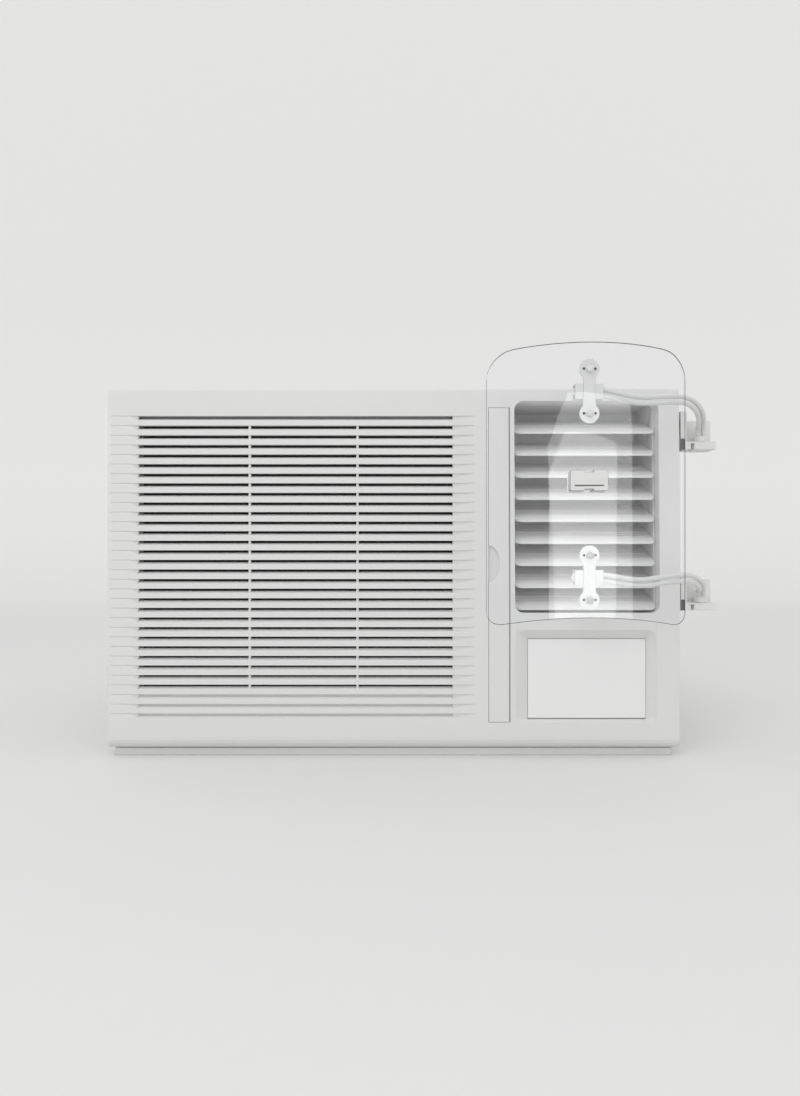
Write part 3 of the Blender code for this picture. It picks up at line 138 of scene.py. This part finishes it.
def metal_skin():
    """Rolled or drawn metal: long soft streaks along one axis, and a haze of dull spots."""
    tree, inside, outside = group("metal_skin", [
        ("Stretch", "NodeSocketVector", (4.0, 120.0, 120.0)),
        ("Light Tone", "NodeSocketColor", (0.8, 0.8, 0.8, 1)),
        ("Deep Tone", "NodeSocketColor", (0.6, 0.6, 0.6, 1)), ("Roughness", "NodeSocketFloat", 0.3)],
        [("Height", "NodeSocketFloat"), ("Color", "NodeSocketColor"), ("Roughness", "NodeSocketFloat")])
    link = tree.links.new
    place = tree.nodes.new("ShaderNodeTexCoord")
    drawn = tree.nodes.new("ShaderNodeMapping")
    link(place.outputs["Object"], drawn.inputs["Vector"])
    link(inside.outputs["Stretch"], drawn.inputs["Scale"])
    streak = node(tree, "ShaderNodeTexNoise", Scale=9.0, Detail=5.0)
    haze = node(tree, "ShaderNodeTexNoise", Scale=22.0, Detail=6.0)
    link(drawn.outputs["Vector"], streak.inputs["Vector"])
    link(place.outputs["Object"], haze.inputs["Vector"])
    tone = node(tree, "ShaderNodeMix", data_type="RGBA")
    link(haze.outputs["Fac"], tone.inputs["Factor"])
    link(inside.outputs["Light Tone"], tone.inputs["A"])
    link(inside.outputs["Deep Tone"], tone.inputs["B"])
    link(tone.outputs["Result"], outside.inputs["Color"])
    gloss = node(tree, "ShaderNodeMath", operation="MULTIPLY_ADD")
    gloss.inputs[1].default_value = 0.22
    link(streak.outputs["Fac"], gloss.inputs[0])
    link(inside.outputs["Roughness"], gloss.inputs[2])
    link(gloss.outputs["Value"], outside.inputs["Roughness"])
    link(streak.outputs["Fac"], outside.inputs["Height"])
    return tree


GRAIN, SKIN = moulded_grain(), metal_skin()


def shaded(name, effect, light, deep, roughness, bump, metallic=0.0, extra=None, **sockets):
    """A material whose colour, gloss and relief come from one shared effect."""
    made = bpy.data.materials.new(name)
    made.use_nodes = True
    tree = made.node_tree
    shader = tree.nodes["Principled BSDF"]
    source = tree.nodes.new("ShaderNodeGroup")
    source.node_tree = effect
    source.inputs["Light Tone"].default_value = (*light, 1)
    source.inputs["Deep Tone"].default_value = (*deep, 1)
    source.inputs["Roughness"].default_value = roughness
    for key, value in (extra or {}).items():
        source.inputs[key].default_value = value
    relief = node(tree, "ShaderNodeBump", Strength=bump, Distance=0.0002)
    tree.links.new(source.outputs["Height"], relief.inputs["Height"])
    tree.links.new(source.outputs["Color"], shader.inputs["Base Color"])
    tree.links.new(source.outputs["Roughness"], shader.inputs["Roughness"])
    tree.links.new(relief.outputs["Normal"], shader.inputs["Normal"])
    shader.inputs["Metallic"].default_value = metallic
    for key, value in sockets.items():
        shader.inputs[key.replace("_", " ")].default_value = value
    return made


def clear_acrylic():
    """Polished clear sheet. Only sight lines bend and mirror in it, so it throws no bright patches."""
    made = bpy.data.materials.new("clear_acrylic_sheet")
    made.use_nodes = True
    tree = made.node_tree
    shader, out = tree.nodes["Principled BSDF"], tree.nodes["Material Output"]
    shader.inputs["Base Color"].default_value = (0.985, 0.99, 0.99, 1)
    shader.inputs["IOR"].default_value = 1.49
    shader.inputs["Transmission Weight"].default_value = 1.0
    place = tree.nodes.new("ShaderNodeTexCoord")
    smear = node(tree, "ShaderNodeTexNoise", Scale=14.0, Detail=5.0)
    haze = node(tree, "ShaderNodeMapRange")
    haze.inputs["To Min"].default_value, haze.inputs["To Max"].default_value = 0.0, 0.03
    tree.links.new(place.outputs["Object"], smear.inputs["Vector"])
    tree.links.new(smear.outputs["Fac"], haze.inputs["Value"])
    tree.links.new(haze.outputs["Result"], shader.inputs["Roughness"])
    path = tree.nodes.new("ShaderNodeLightPath")
    clear = node(tree, "ShaderNodeBsdfTransparent", Color=(0.97, 0.975, 0.975, 1))
    mix = tree.nodes.new("ShaderNodeMixShader")
    seen = node(tree, "ShaderNodeMath", operation="MAXIMUM")
    tree.links.new(path.outputs["Is Camera Ray"], seen.inputs[0])
    tree.links.new(path.outputs["Is Transmission Ray"], seen.inputs[1])
    tree.links.new(seen.outputs["Value"], mix.inputs["Fac"])
    tree.links.new(clear.outputs["BSDF"], mix.inputs[1])
    tree.links.new(shader.outputs["BSDF"], mix.inputs[2])
    tree.links.new(mix.outputs["Shader"], out.inputs["Surface"])
    return made


def filter_net():
    """Black woven filter net: threads both ways with small see-through gaps in tone."""
    made = bpy.data.materials.new("filter_net")
    made.use_nodes = True
    tree = made.node_tree
    shader = tree.nodes["Principled BSDF"]
    place = tree.nodes.new("ShaderNodeTexCoord")
    heights = []
    for direction in ("X", "Z"):
        thread = node(tree, "ShaderNodeTexWave", bands_direction=direction, Scale=190.0)
        tree.links.new(place.outputs["Object"], thread.inputs["Vector"])
        heights.append(thread.outputs["Fac"])
    over = node(tree, "ShaderNodeMath", operation="MAXIMUM")
    tree.links.new(heights[0], over.inputs[0])
    tree.links.new(heights[1], over.inputs[1])
    tone = tree.nodes.new("ShaderNodeValToRGB")
    tone.color_ramp.elements[0].color = (0.003, 0.003, 0.004, 1)
    tone.color_ramp.elements[1].color = (0.035, 0.036, 0.040, 1)
    relief = node(tree, "ShaderNodeBump", Strength=0.6, Distance=0.0004)
    tree.links.new(over.outputs["Value"], tone.inputs["Fac"])
    tree.links.new(over.outputs["Value"], relief.inputs["Height"])
    tree.links.new(tone.outputs["Color"], shader.inputs["Base Color"])
    tree.links.new(relief.outputs["Normal"], shader.inputs["Normal"])
    shader.inputs["Roughness"].default_value = 0.75
    return made


PANEL_WHITE = shaded("panel_white", GRAIN, (0.745, 0.745, 0.740), (0.725, 0.725, 0.720), 0.52, 0.10,
                     Specular_IOR_Level=0.14)
DOOR_WHITE = shaded("door_white", GRAIN, (0.870, 0.870, 0.866), (0.850, 0.850, 0.845), 0.50, 0.07,
                    Specular_IOR_Level=0.14)
BLADE_WHITE = shaded("blade_white", GRAIN, (0.850, 0.850, 0.845), (0.830, 0.830, 0.825), 0.42, 0.05,
                     Specular_IOR_Level=0.25)
DUCT_WHITE = shaded("duct_white", GRAIN, (0.90, 0.90, 0.895), (0.88, 0.88, 0.875), 0.45, 0.10)
ARM_WHITE = shaded("accessory_white_gloss", GRAIN, (0.72, 0.72, 0.715), (0.70, 0.70, 0.695), 0.34, 0.03,
                   extra={"Grain Scale": 900.0}, Specular_IOR_Level=0.25)
GREY = shaded("grey_moulding", GRAIN, (0.42, 0.43, 0.44), (0.36, 0.37, 0.38), 0.48, 0.15)
FOAM = shaded("bead_foam", GRAIN, (0.84, 0.84, 0.82), (0.78, 0.78, 0.76), 0.75, 0.8,
              extra={"Grain Scale": 260.0})
RUBBER = shaded("soft_rubber", GRAIN, (0.030, 0.030, 0.031), (0.045, 0.045, 0.046), 0.62, 0.3,
                extra={"Grain Scale": 700.0})
CASE_PAINT = shaded("case_enamel", GRAIN, (0.70, 0.70, 0.685), (0.67, 0.67, 0.655), 0.30, 0.12,
                    extra={"Grain Scale": 420.0}, Coat_Weight=0.25)
BLACK_PAINT = shaded("black_enamel", GRAIN, (0.020, 0.020, 0.021), (0.032, 0.032, 0.033), 0.30, 0.10,
                     extra={"Grain Scale": 500.0}, Coat_Weight=0.3)
ZINC = shaded("zinc_plate", SKIN, (0.66, 0.67, 0.68), (0.52, 0.53, 0.55), 0.22, 0.08, 1.0)
FIN_METAL = shaded("fin_stock", SKIN, (0.86, 0.87, 0.88), (0.74, 0.75, 0.77), 0.20, 0.05, 1.0,
                   extra={"Stretch": (1.0, 30.0, 4.0)})
COPPER = shaded("drawn_copper", SKIN, (0.86, 0.46, 0.30), (0.58, 0.27, 0.17), 0.18, 0.05, 1.0)
# Near-black edge material for the clear sheet: painted shade for the dark line that its edges show
SHEET_EDGE_PAINTED_SHADE = shaded("acrylic_edge_painted_shade", GRAIN, (0.060, 0.066, 0.066), (0.090, 0.097, 0.097), 0.20, 0.05,
                    extra={"Grain Scale": 600.0})
# Grey rim material for clips and scent box: painted shade for the dark outlines of their thin white rims
RIM_PAINTED_SHADE = shaded("rim_painted_shade", GRAIN, (0.20, 0.20, 0.20), (0.25, 0.25, 0.25), 0.45, 0.05)
ACRYLIC, NET = clear_acrylic(), filter_net()


# Making pieces

def place_piece(bm, name, body, finish, replaces=(), sharp=35, bevel=0.0, steps=2, subdivide=0,
                weighted=False):
    """Turns a bmesh into a piece that rides on a body, with its finish and any softened edges."""
    mesh = bpy.data.meshes.new(name)
    bm.to_mesh(mesh)
    bm.free()
    mesh.materials.append(finish)
    mesh.shade_smooth()
    mesh.set_sharp_from_angle(angle=math.radians(sharp))
    piece = bpy.data.objects.new(name, mesh)
    bpy.context.scene.collection.objects.link(piece)
    if bevel:
        soft = piece.modifiers.new("softened_edges", "BEVEL")
        soft.width, soft.segments, soft.limit_method = bevel, steps, "ANGLE"
        soft.angle_limit, soft.harden_normals = math.radians(28), True
        soft.miter_outer = "MITER_ARC"
    if weighted:
        even = piece.modifiers.new("even_shading", "WEIGHTED_NORMAL")
        even.keep_sharp = True
    if subdivide:
        smooth = piece.modifiers.new("rounded", "SUBSURF")
        smooth.levels = smooth.render_levels = subdivide
    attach(piece, body)
    if replaces:
        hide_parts(*replaces)
    return piece


def copy_of(cad_node, flatten=0.6):
    """The CAD node's mesh with its corners merged and its flat pairs of triangles made quads."""
    bm = bmesh.new()
    bm.from_mesh(NODES[cad_node].data)
    bmesh.ops.remove_doubles(bm, verts=bm.verts, dist=2e-6)
    if flatten:
        bmesh.ops.join_triangles(bm, faces=bm.faces, angle_face_threshold=math.radians(flatten),
                                 angle_shape_threshold=JOIN_ANGLE)
    return bm


def finished(cad_node, finish, bevel=0.0004, steps=2, sharp=35, flatten=0.6, weighted=False):
    """A CAD node's shape as a piece with its finish, on the node's own body."""
    bm = copy_of(cad_node, flatten)
    return place_piece(bm, f"{cad_node}_finished", BODY_OF[cad_node], finish,
                       [cad_node], sharp, bevel, steps, weighted=weighted)


def outlined(cad_node, finish, bevel):
    """A finished piece whose rounded edges get a darker material: painted shade for the dark outlines that
    shadow and refraction give thin white rims.
    """
    piece = finished(cad_node, finish, bevel, 3)
    piece.data.materials.append(RIM_PAINTED_SHADE)
    # The bevel faces take the grey rim material: painted shade along the edges
    piece.modifiers["softened_edges"].material = 1


def shells():
    """Front panel, doors, louvers, knobs, case and the moulded pieces inside it."""
    finished("front_panel", PANEL_WHITE, 0.0, sharp=20, flatten=0, weighted=True)
    finished("filter_door", PANEL_WHITE, 0.0004, weighted=True)
    finger_ridges()
    finished("control_door", DOOR_WHITE, 0.0008, 3)
    finished("outlet_frame", PANEL_WHITE, 0.0004)
    finished("discharge_duct", DUCT_WHITE, 0.0004, sharp=50)
    for i in range(1, 10):
        finished(f"louver_{i}", BLADE_WHITE, 0.0007, 3, sharp=40)
    finished("louver_link", BLADE_WHITE, 0.0003)
    for knob in ("mode_knob", "thermostat_knob"):
        finished(knob, DOOR_WHITE, 0.0008, 3)
    finished("control_box", GREY, 0.001)
    finished("cabinet", CASE_PAINT, 0.0003)
    finished("base_pan", CASE_PAINT, 0.0006)
    finished("rear_guard", CASE_PAINT, 0.0006)
    finished("bulkhead", CASE_PAINT, 0.0003)
    for cad_node in ("blower_scroll", "blower_orifice", "fan_shroud", "filter_frame"):
        finished(cad_node, GREY, 0.0005, sharp=50)
    finished("drain_tray", FOAM, 0.002)


def finger_ridges():
    """Fine upright ridges on the floor of the filter door's half-moon finger grip."""
    low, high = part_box("filter_door")
    middle = (STRIP_LOW + high.z - STRIP_PIN) / 2 + GRIP_RISE
    bm = bmesh.new()
    for i in range(RIDGES):
        across = RIDGE_START + RIDGE_PITCH * i
        reach = GRIP_HALF * math.sqrt(1 - (across / GRIP_WIDE) ** 2) - RIDGE_START
        made = bmesh.ops.create_cone(bm, cap_ends=True, segments=10, radius1=RIDGE_R, radius2=RIDGE_R,
                                     depth=2 * reach)["verts"]
        bmesh.ops.translate(bm, vec=(low.x + across, low.y + GRIP_DEEP, middle), verts=made)
    place_piece(bm, "finger_ridges", "filter_door", PANEL_WHITE)


def deflector():
    """Clear sheet, its clips with bosses and holes, twin-rod arms, swivels, brackets and scent box."""
    bm = copy_of("deflector_sheet", 0)
    bmesh.ops.join_triangles(bm, faces=bm.faces, angle_face_threshold=0.6, angle_shape_threshold=JOIN_ANGLE)
    bm.normal_update()
    # Side faces and the bevel take the near-black edge material: painted shade on the sheet's edges
    for face in bm.faces:
        face.material_index = int(abs(face.normal.y) < 0.6)
    sheet = place_piece(bm, "deflector_sheet_polished", "deflector", ACRYLIC,
                        ["deflector_sheet"], sharp=40, bevel=0.0005, steps=3)
    sheet.data.materials.append(SHEET_EDGE_PAINTED_SHADE)
    sheet.modifiers["softened_edges"].material = 1
    for which in ("upper", "lower"):
        outlined(f"clip_{which}", ARM_WHITE, 0.0006)
        bm = copy_of(f"arm_{which}", 0)
        bmesh.ops.join_triangles(bm, faces=bm.faces, angle_face_threshold=0.8,
                                 angle_shape_threshold=JOIN_ANGLE)
        place_piece(bm, f"arm_{which}_smooth", "deflector", ARM_WHITE, [f"arm_{which}"],
                    sharp=70, subdivide=2)
        finished(f"swivel_{which}", ARM_WHITE, 0.0006, 3)
        finished(f"bracket_{which}", ARM_WHITE, 0.0009, 3)
        finished(f"bracket_pad_{which}", RUBBER, 0.0003)
        clip_details(which)
    outlined("scent_box", ARM_WHITE, 0.0006)
    finished("scent_back", ARM_WHITE, 0.0005, 3)


def clip_details(which):
    """Rivet heads on the sheet's front and the pairs of small eyelets beside them."""
    low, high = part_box(f"clip_{which}")
    middle, reach = (low + high) / 2, (high.z - low.z) / 2 - CLIP_END
    turn = Matrix.Rotation(math.radians(90), 4, "X")
    for end, side in (("top", 1), ("bottom", -1)):
        z = middle.z + side * reach
        bm = bmesh.new()
        bmesh.ops.create_uvsphere(bm, u_segments=32, v_segments=12, radius=RIVET_R)
        bmesh.ops.bisect_plane(bm, geom=[*bm.verts, *bm.edges, *bm.faces], plane_co=(0, 0, RIVET_CUT),
                               plane_no=(0, 0, 1), clear_inner=True)
        bmesh.ops.holes_fill(bm, edges=[e for e in bm.edges if e.is_boundary], sides=0)
        bmesh.ops.scale(bm, vec=(1, 1, RIVET_FLAT), verts=bm.verts)
        bmesh.ops.transform(bm, matrix=Matrix.Translation((middle.x, low.y - RIVET_OUT, z)) @ turn,
                            verts=bm.verts)
        bmesh.ops.recalc_face_normals(bm, faces=bm.faces)
        place_piece(bm, f"rivet_{which}_{end}", "deflector", ARM_WHITE)
        for hand, way in (("left", -1), ("right", 1)):
            bm = bmesh.new()
            bmesh.ops.create_cone(bm, cap_ends=True, segments=20, radius1=EYELET_R, radius2=EYELET_R,
                                  depth=EYELET_THICK)
            at = (middle.x + way * EYELET_ASIDE, low.y - EYELET_OUT, z)
            bmesh.ops.transform(bm, matrix=Matrix.Translation(at) @ turn, verts=bm.verts)
            place_piece(bm, f"eyelet_{which}_{end}_{hand}", "deflector", RUBBER)


def fin_pack(name, cad_node):
    """Thin aluminium fins side by side through the whole coil, with the tubes that run through them."""
    low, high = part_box(cad_node)
    bm = bmesh.new()
    for i in range(int((high.x - low.x) / FIN_PITCH)):
        made = bmesh.ops.create_cube(bm, size=1)["verts"]
        bmesh.ops.scale(bm, vec=(FIN_THICK, high.y - low.y, high.z - low.z), verts=made)
        x = low.x + FIN_PITCH * (i + 0.5)
        bmesh.ops.translate(bm, vec=(x, (low.y + high.y) / 2, (low.z + high.z) / 2), verts=made)
    place_piece(bm, name, "chassis", FIN_METAL, [cad_node])
    tubes = bmesh.new()
    for i in range(COIL_ROWS):
        z = low.z + (high.z - low.z) * (i + 0.5) / COIL_ROWS
        made = bmesh.ops.create_cone(tubes, cap_ends=True, segments=12, radius1=COIL_TUBE_R,
                                     radius2=COIL_TUBE_R, depth=high.x - low.x)["verts"]
        bmesh.ops.transform(tubes, matrix=Matrix.Translation(((low.x + high.x) / 2, (low.y + high.y) / 2, z))
                            @ Matrix.Rotation(math.radians(90), 4, "Y"), verts=made)
    place_piece(tubes, f"{name}_tubes", "chassis", COPPER)


def machinery():
    """Coils, pipes, compressor, motor, fans and the filter's net."""
    fin_pack("condenser_fin_pack", "condenser_fins")
    fin_pack("evaporator_fin_pack", "evaporator_fins")
    for cad_node in ("condenser_tubes", "evaporator_tubes", "suction_line", "discharge_line",
                     "capillary_tube"):
        bm = copy_of(cad_node, 0.3)
        place_piece(bm, f"{cad_node}_finished", "chassis", COPPER, [cad_node], sharp=60)
    finished("compressor", BLACK_PAINT, 0.0008, sharp=40)
    finished("fan_motor", BLACK_PAINT, 0.0015, 3)
    finished("blower_wheel", BLACK_PAINT, 0.0003)
    finished("condenser_fan", GREY, 0.0006, sharp=50)
    for cad_node in ("fan_shaft", "motor_bracket", "run_capacitor"):
        finished(cad_node, ZINC, 0.0006)
    for cad_node in ("compressor_foot_1", "compressor_foot_2", "compressor_foot_3", "cord_gland"):
        finished(cad_node, RUBBER, 0.0008, 3)
    bm = copy_of("filter_mesh")
    place_piece(bm, "filter_net_sheet", "chassis", NET, ["filter_mesh"])


def screw(name, at, out):
    """A pan-head screw with a cross recess, its head standing on a surface that faces out."""
    bm = bmesh.new()
    bmesh.ops.create_cone(bm, cap_ends=True, segments=28, radius1=SCREW_R, radius2=SCREW_TOP_R,
                          depth=SCREW_TALL)
    rim = [e for e in bm.edges if all(v.co.z > 0 for v in e.verts) and len(e.link_faces) == 2]
    bmesh.ops.bevel(bm, geom=rim, offset=SCREW_ROUND, segments=3, profile=0.5, affect="EDGES", material=-1)
    for angle in (0, 90):
        made = bmesh.ops.create_cube(bm, size=1)["verts"]
        bmesh.ops.scale(bm, vec=CROSS, verts=made)
        bmesh.ops.transform(bm, matrix=Matrix.Translation((0, 0, CROSS_UP + angle * 1e-7))
                            @ Matrix.Rotation(math.radians(angle), 4, "Z"), verts=made)
    turn = Vector(out).to_track_quat("Z", "Y").to_matrix().to_4x4()
    where = Vector(at) + Vector(out) * SCREW_TALL / 2
    bmesh.ops.transform(bm, matrix=Matrix.Translation(where) @ turn, verts=bm.verts)
    place_piece(bm, name, "chassis", ZINC)


def fasteners():
    """The case's side screws and the rear guard's four."""
    (front, front_z), (rear, rear_z) = SIDE_SCREWS_FRONT, SIDE_SCREWS_REAR
    spots = [(PANEL_HIGH.y + front, z) for z in front_z] + [(CASE_HIGH.y - rear, z) for z in rear_z]
    for side, x, out in (("left", CASE_LOW.x, (-1, 0, 0)), ("right", CASE_HIGH.x, (1, 0, 0))):
        for number, (y, z) in enumerate(spots, 1):
            screw(f"case_screw_{side}_{number}", (x, y, z), out)
    for number, (x, z) in enumerate(GUARD_SCREWS, 1):
        screw(f"guard_screw_{number}", (x, GUARD_HIGH.y, z), (0, 1, 0))


# Studio

def studio():
    """Soft white room, paper sweep, two area lights and the card that the clear sheet mirrors."""
    world = bpy.data.worlds.new("soft_room")
    world.use_nodes = True
    world.node_tree.nodes["Background"].inputs["Color"].default_value = (1, 1, 1, 1)
    world.node_tree.nodes["Background"].inputs["Strength"].default_value = 0.86
    scene = bpy.context.scene
    scene.world = world
    scene.view_settings.view_transform = "Standard"
    bm = bmesh.new()
    bmesh.ops.create_grid(bm, x_segments=1, y_segments=1, size=9)
    edge = [e for e in bm.edges if all(v.co.y > 8 for v in e.verts)]
    lifted = bmesh.ops.extrude_edge_only(bm, edges=edge)["geom"]
    bmesh.ops.translate(bm, vec=(0, 0, 9), verts=[v for v in lifted if isinstance(v, bmesh.types.BMVert)])
    bend = [e for e in bm.edges if all(v.co.y > 8 and v.co.z < 0.1 for v in e.verts)]
    bmesh.ops.bevel(bm, geom=bend, offset=4, segments=16, profile=0.5, affect="EDGES", material=-1)
    mesh = bpy.data.meshes.new("sweep")
    bm.to_mesh(mesh)
    bm.free()
    mesh.shade_smooth()
    mesh.materials.append(sweep_paper())
    sweep = bpy.data.objects.new("sweep", mesh)
    scene.collection.objects.link(sweep)
    for name, place, target, size, power in (
            ("key", (-0.9, -2.4, 2.3), (0, 0, 0.2), 1.6, 16),
            ("top", (0.1, -0.9, 2.2), (0, -0.2, 0.2), 1.4, 3)):
        light = bpy.data.lights.new(name, "AREA")
        light.size, light.energy = size, power
        lamp = bpy.data.objects.new(name, light)
        lamp.location = place
        lamp.rotation_euler = (Vector(target) - Vector(place)).to_track_quat("-Z", "Y").to_euler()
        scene.collection.objects.link(lamp)
    light_card()


def sweep_paper():
    """Matt paper, greyer on the floor than where it climbs behind the object: painted shade that holds the
    lamp-lit floor down to the wall's brightness.
    """
    made = bpy.data.materials.new("sweep_paper")
    made.use_nodes = True
    tree = made.node_tree
    shader = tree.nodes["Principled BSDF"]
    place, parts = tree.nodes.new("ShaderNodeTexCoord"), tree.nodes.new("ShaderNodeSeparateXYZ")
    climb = tree.nodes.new("ShaderNodeMapRange")
    climb.inputs["From Min"].default_value, climb.inputs["From Max"].default_value = 0.5, 8.0
    fibre = node(tree, "ShaderNodeTexNoise", Scale=60.0, Detail=3.0)
    tone = tree.nodes.new("ShaderNodeMix")
    tone.data_type = "RGBA"
    # Darker floor tone rising to a lighter wall tone: painted shade against the lamps' extra light on the
    # floor
    tone.inputs["A"].default_value = (0.75, 0.75, 0.745, 1)
    tone.inputs["B"].default_value = (0.93, 0.93, 0.925, 1)
    relief = node(tree, "ShaderNodeBump", Strength=0.02, Distance=0.0005)
    tree.links.new(place.outputs["Object"], parts.inputs["Vector"])
    tree.links.new(place.outputs["Object"], fibre.inputs["Vector"])
    tree.links.new(parts.outputs["Y"], climb.inputs["Value"])
    tree.links.new(climb.outputs["Result"], tone.inputs["Factor"])
    tree.links.new(tone.outputs["Result"], shader.inputs["Base Color"])
    tree.links.new(fibre.outputs["Fac"], relief.inputs["Height"])
    tree.links.new(relief.outputs["Normal"], shader.inputs["Normal"])
    shader.inputs["Roughness"].default_value = 0.8
    return made


def light_card():
    """A bright card with cut corners beside the camera, which the bowed sheet mirrors as a tall band."""
    bm = bmesh.new()
    left, right, bottom, top, away = -0.149, 1.13, -0.5, 0.64, -1.9
    corners = [(left, bottom), (right, bottom), (right, top - 0.05), (right - 0.04, top),
               (left + 0.27, top), (left, top - 0.12)]
    bm.faces.new([bm.verts.new((x, away, z)) for x, z in corners])
    mesh = bpy.data.meshes.new("light_card")
    bm.to_mesh(mesh)
    bm.free()
    glow = bpy.data.materials.new("card_light")
    glow.use_nodes = True
    tree = glow.node_tree
    lit = node(tree, "ShaderNodeEmission", Strength=4.8)
    tree.links.new(lit.outputs["Emission"], tree.nodes["Material Output"].inputs["Surface"])
    mesh.materials.append(glow)
    card = bpy.data.objects.new("light_card", mesh)
    card.visible_camera = card.visible_diffuse = card.visible_transmission = False
    bpy.context.scene.collection.objects.link(card)


def camera():
    """A level view square to the front panel."""
    view = bpy.data.cameras.new("view")
    view.lens, view.sensor_width = LENS, SENSOR
    view.shift_x, view.shift_y = EYE_SHIFT
    view.clip_start, view.clip_end = 0.05, 60
    eye = bpy.data.objects.new("view", view)
    eye.location = EYE
    eye.rotation_euler = (math.radians(90), 0, 0)
    bpy.context.scene.collection.objects.link(eye)
    bpy.context.scene.camera = eye


camera()
shells()
deflector()
machinery()
fasteners()
studio()
